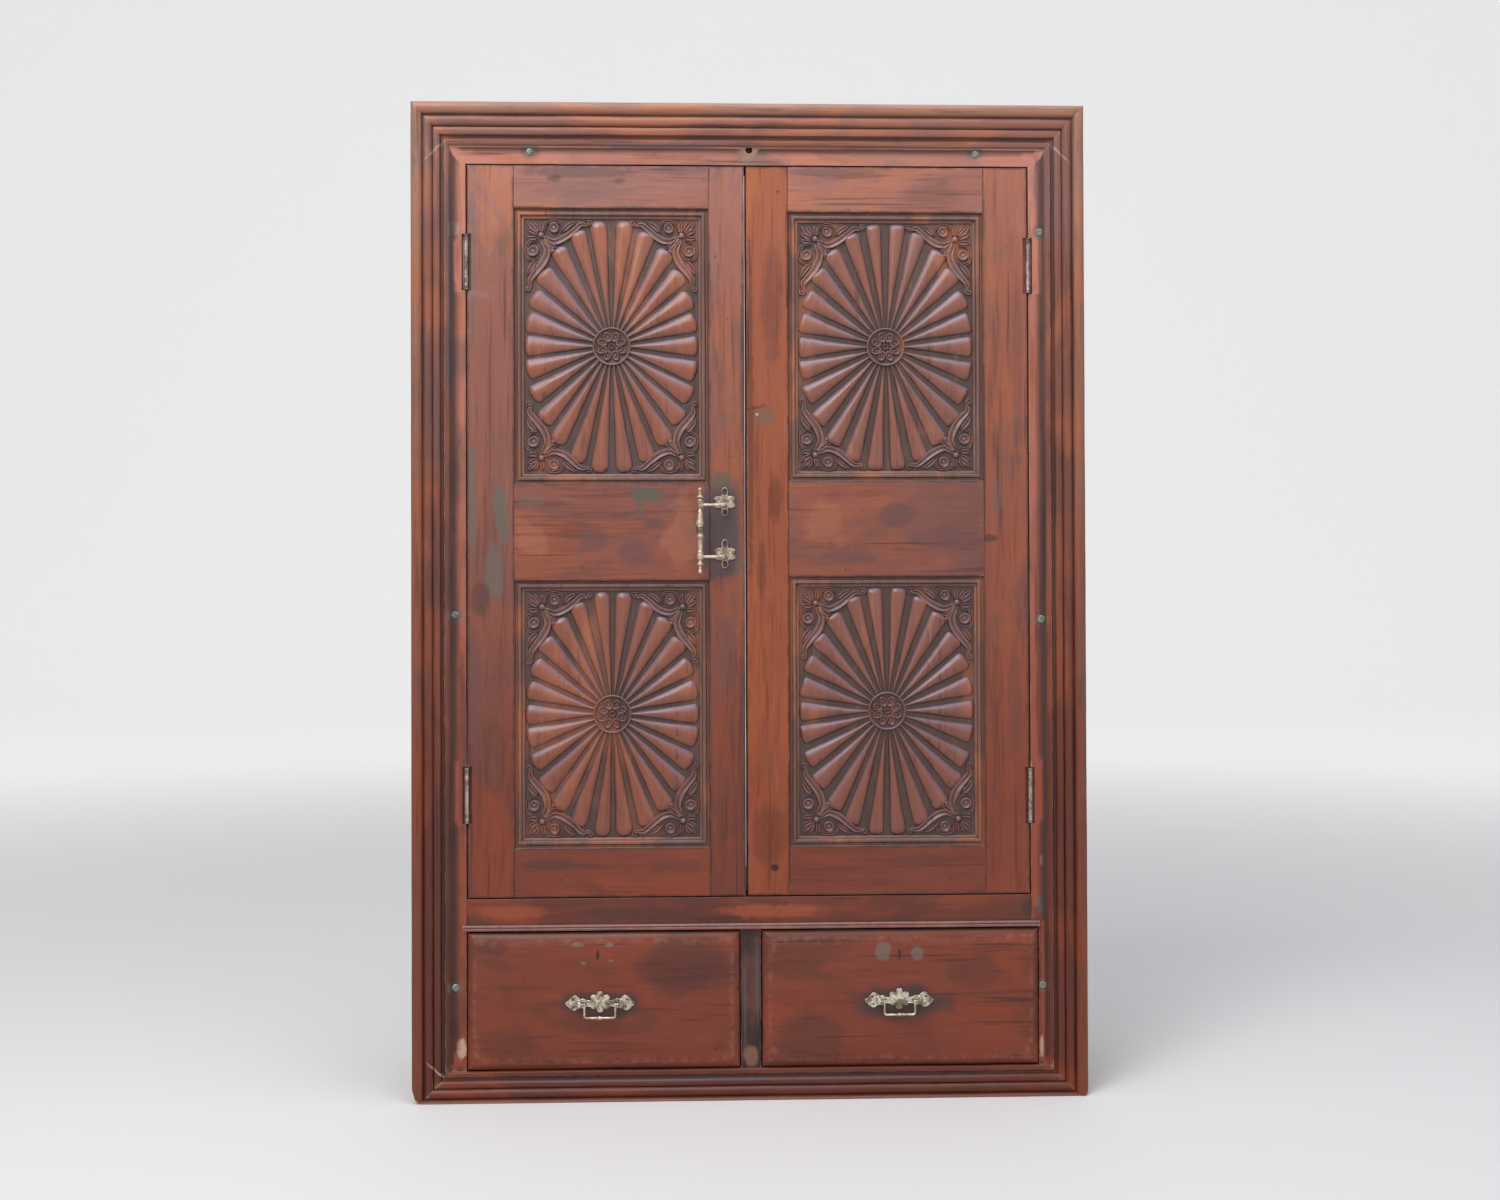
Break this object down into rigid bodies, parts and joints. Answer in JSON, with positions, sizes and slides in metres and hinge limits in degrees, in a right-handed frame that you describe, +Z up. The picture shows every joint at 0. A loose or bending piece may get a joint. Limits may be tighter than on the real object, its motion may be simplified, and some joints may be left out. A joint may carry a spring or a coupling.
{
  "type": "cupboard front",
  "caption": "Moulded wooden cupboard front: mitred frame, two carved sunburst-panel doors, two drawers with drop handles, bar pull and butt hinges; open niche behind the doors.",
  "frame": {"origin": "on the floor under the frame's foot, in the plane of the door faces, at mid width of the outer frame", "axes": "+Z up, front faces -Y, +X to the right of someone facing it"},
  "size_m": [1.19, 0.3973, 1.756],
  "materials": {
    "frame_wood": "worn wax",
    "door_wood": "worn wax",
    "carved_wood": "worn wax",
    "drawer_wood": "worn wax",
    "dark_wood": "grimy",
    "inner_wood": "bare",
    "brass": "aged",
    "iron": "aged",
    "screw_iron": "aged"
  },
  "bodies": {
    "frame": {"case_back": "inner_wood", "case_bottom": "inner_wood", "case_deck": "inner_wood", "case_left_side": "inner_wood", "case_partition": "inner_wood", "case_right_side": "inner_wood", "frame_screws": "screw_iron", "head": "frame_wood", "left_jamb": "frame_wood", "left_lower_hinge_frame_leaf": "iron", "left_upper_hinge_frame_leaf": "iron", "mid_rail": "frame_wood", "muntin": "dark_wood", "rail_bead": "frame_wood", "right_jamb": "frame_wood", "right_lower_hinge_frame_leaf": "iron", "right_upper_hinge_frame_leaf": "iron", "sill": "frame_wood"},
    "left_door": {"door_pull_bar": "brass", "door_pull_lower_arm": "brass", "door_pull_upper_arm": "brass", "left_bottom_rail": "door_wood", "left_hinge_stile": "door_wood", "left_lock_rail": "door_wood", "left_lock_stile": "door_wood", "left_lower_hinge_door_leaf": "iron", "left_lower_moulding": "carved_wood", "left_lower_panel": "carved_wood", "left_top_rail": "door_wood", "left_upper_hinge_door_leaf": "iron", "left_upper_moulding": "carved_wood", "left_upper_panel": "carved_wood"},
    "right_door": {"right_bottom_rail": "door_wood", "right_hinge_stile": "door_wood", "right_lock_rail": "door_wood", "right_lower_hinge_door_leaf": "iron", "right_lower_moulding": "carved_wood", "right_lower_panel": "carved_wood", "right_meeting_stile": "door_wood", "right_top_rail": "door_wood", "right_upper_hinge_door_leaf": "iron", "right_upper_moulding": "carved_wood", "right_upper_panel": "carved_wood"},
    "left_drawer": {"left_drawer_back": "inner_wood", "left_drawer_bottom": "inner_wood", "left_drawer_front": "drawer_wood", "left_drawer_left_side": "inner_wood", "left_drawer_plate": "brass", "left_drawer_right_side": "inner_wood"},
    "right_drawer": {"right_drawer_back": "inner_wood", "right_drawer_bottom": "inner_wood", "right_drawer_front": "drawer_wood", "right_drawer_left_side": "inner_wood", "right_drawer_plate": "brass", "right_drawer_right_side": "inner_wood"},
    "left_bail": {"left_drawer_bail": "brass"},
    "right_bail": {"right_drawer_bail": "brass"}
  },
  "joints": [
    {"name": "left_door_hinge", "type": "hinge", "parent": "frame", "child": "left_door", "pos_m": [-0.5002, -0.002, 1], "axis": [0, 0, -1], "range_deg": [0, 160]},
    {"name": "right_door_hinge", "type": "hinge", "parent": "frame", "child": "right_door", "pos_m": [0.4972, -0.002, 1], "axis": [0, 0, 1], "range_deg": [0, 160]},
    {"name": "left_drawer_slide", "type": "slide", "parent": "frame", "child": "left_drawer", "axis": [0, -1, 0], "range_m": [0, 0.24]},
    {"name": "right_drawer_slide", "type": "slide", "parent": "frame", "child": "right_drawer", "axis": [0, -1, 0], "range_m": [0, 0.24]},
    {"name": "left_bail_pivot", "type": "hinge", "parent": "left_drawer", "child": "left_bail", "pos_m": [-0.267, -0.0185, 0.17], "axis": [-1, 0, 0], "range_deg": [-12, 95]},
    {"name": "right_bail_pivot", "type": "hinge", "parent": "right_drawer", "child": "right_bail", "pos_m": [0.2605, -0.0185, 0.17], "axis": [-1, 0, 0], "range_deg": [-12, 95]}
  ]
}
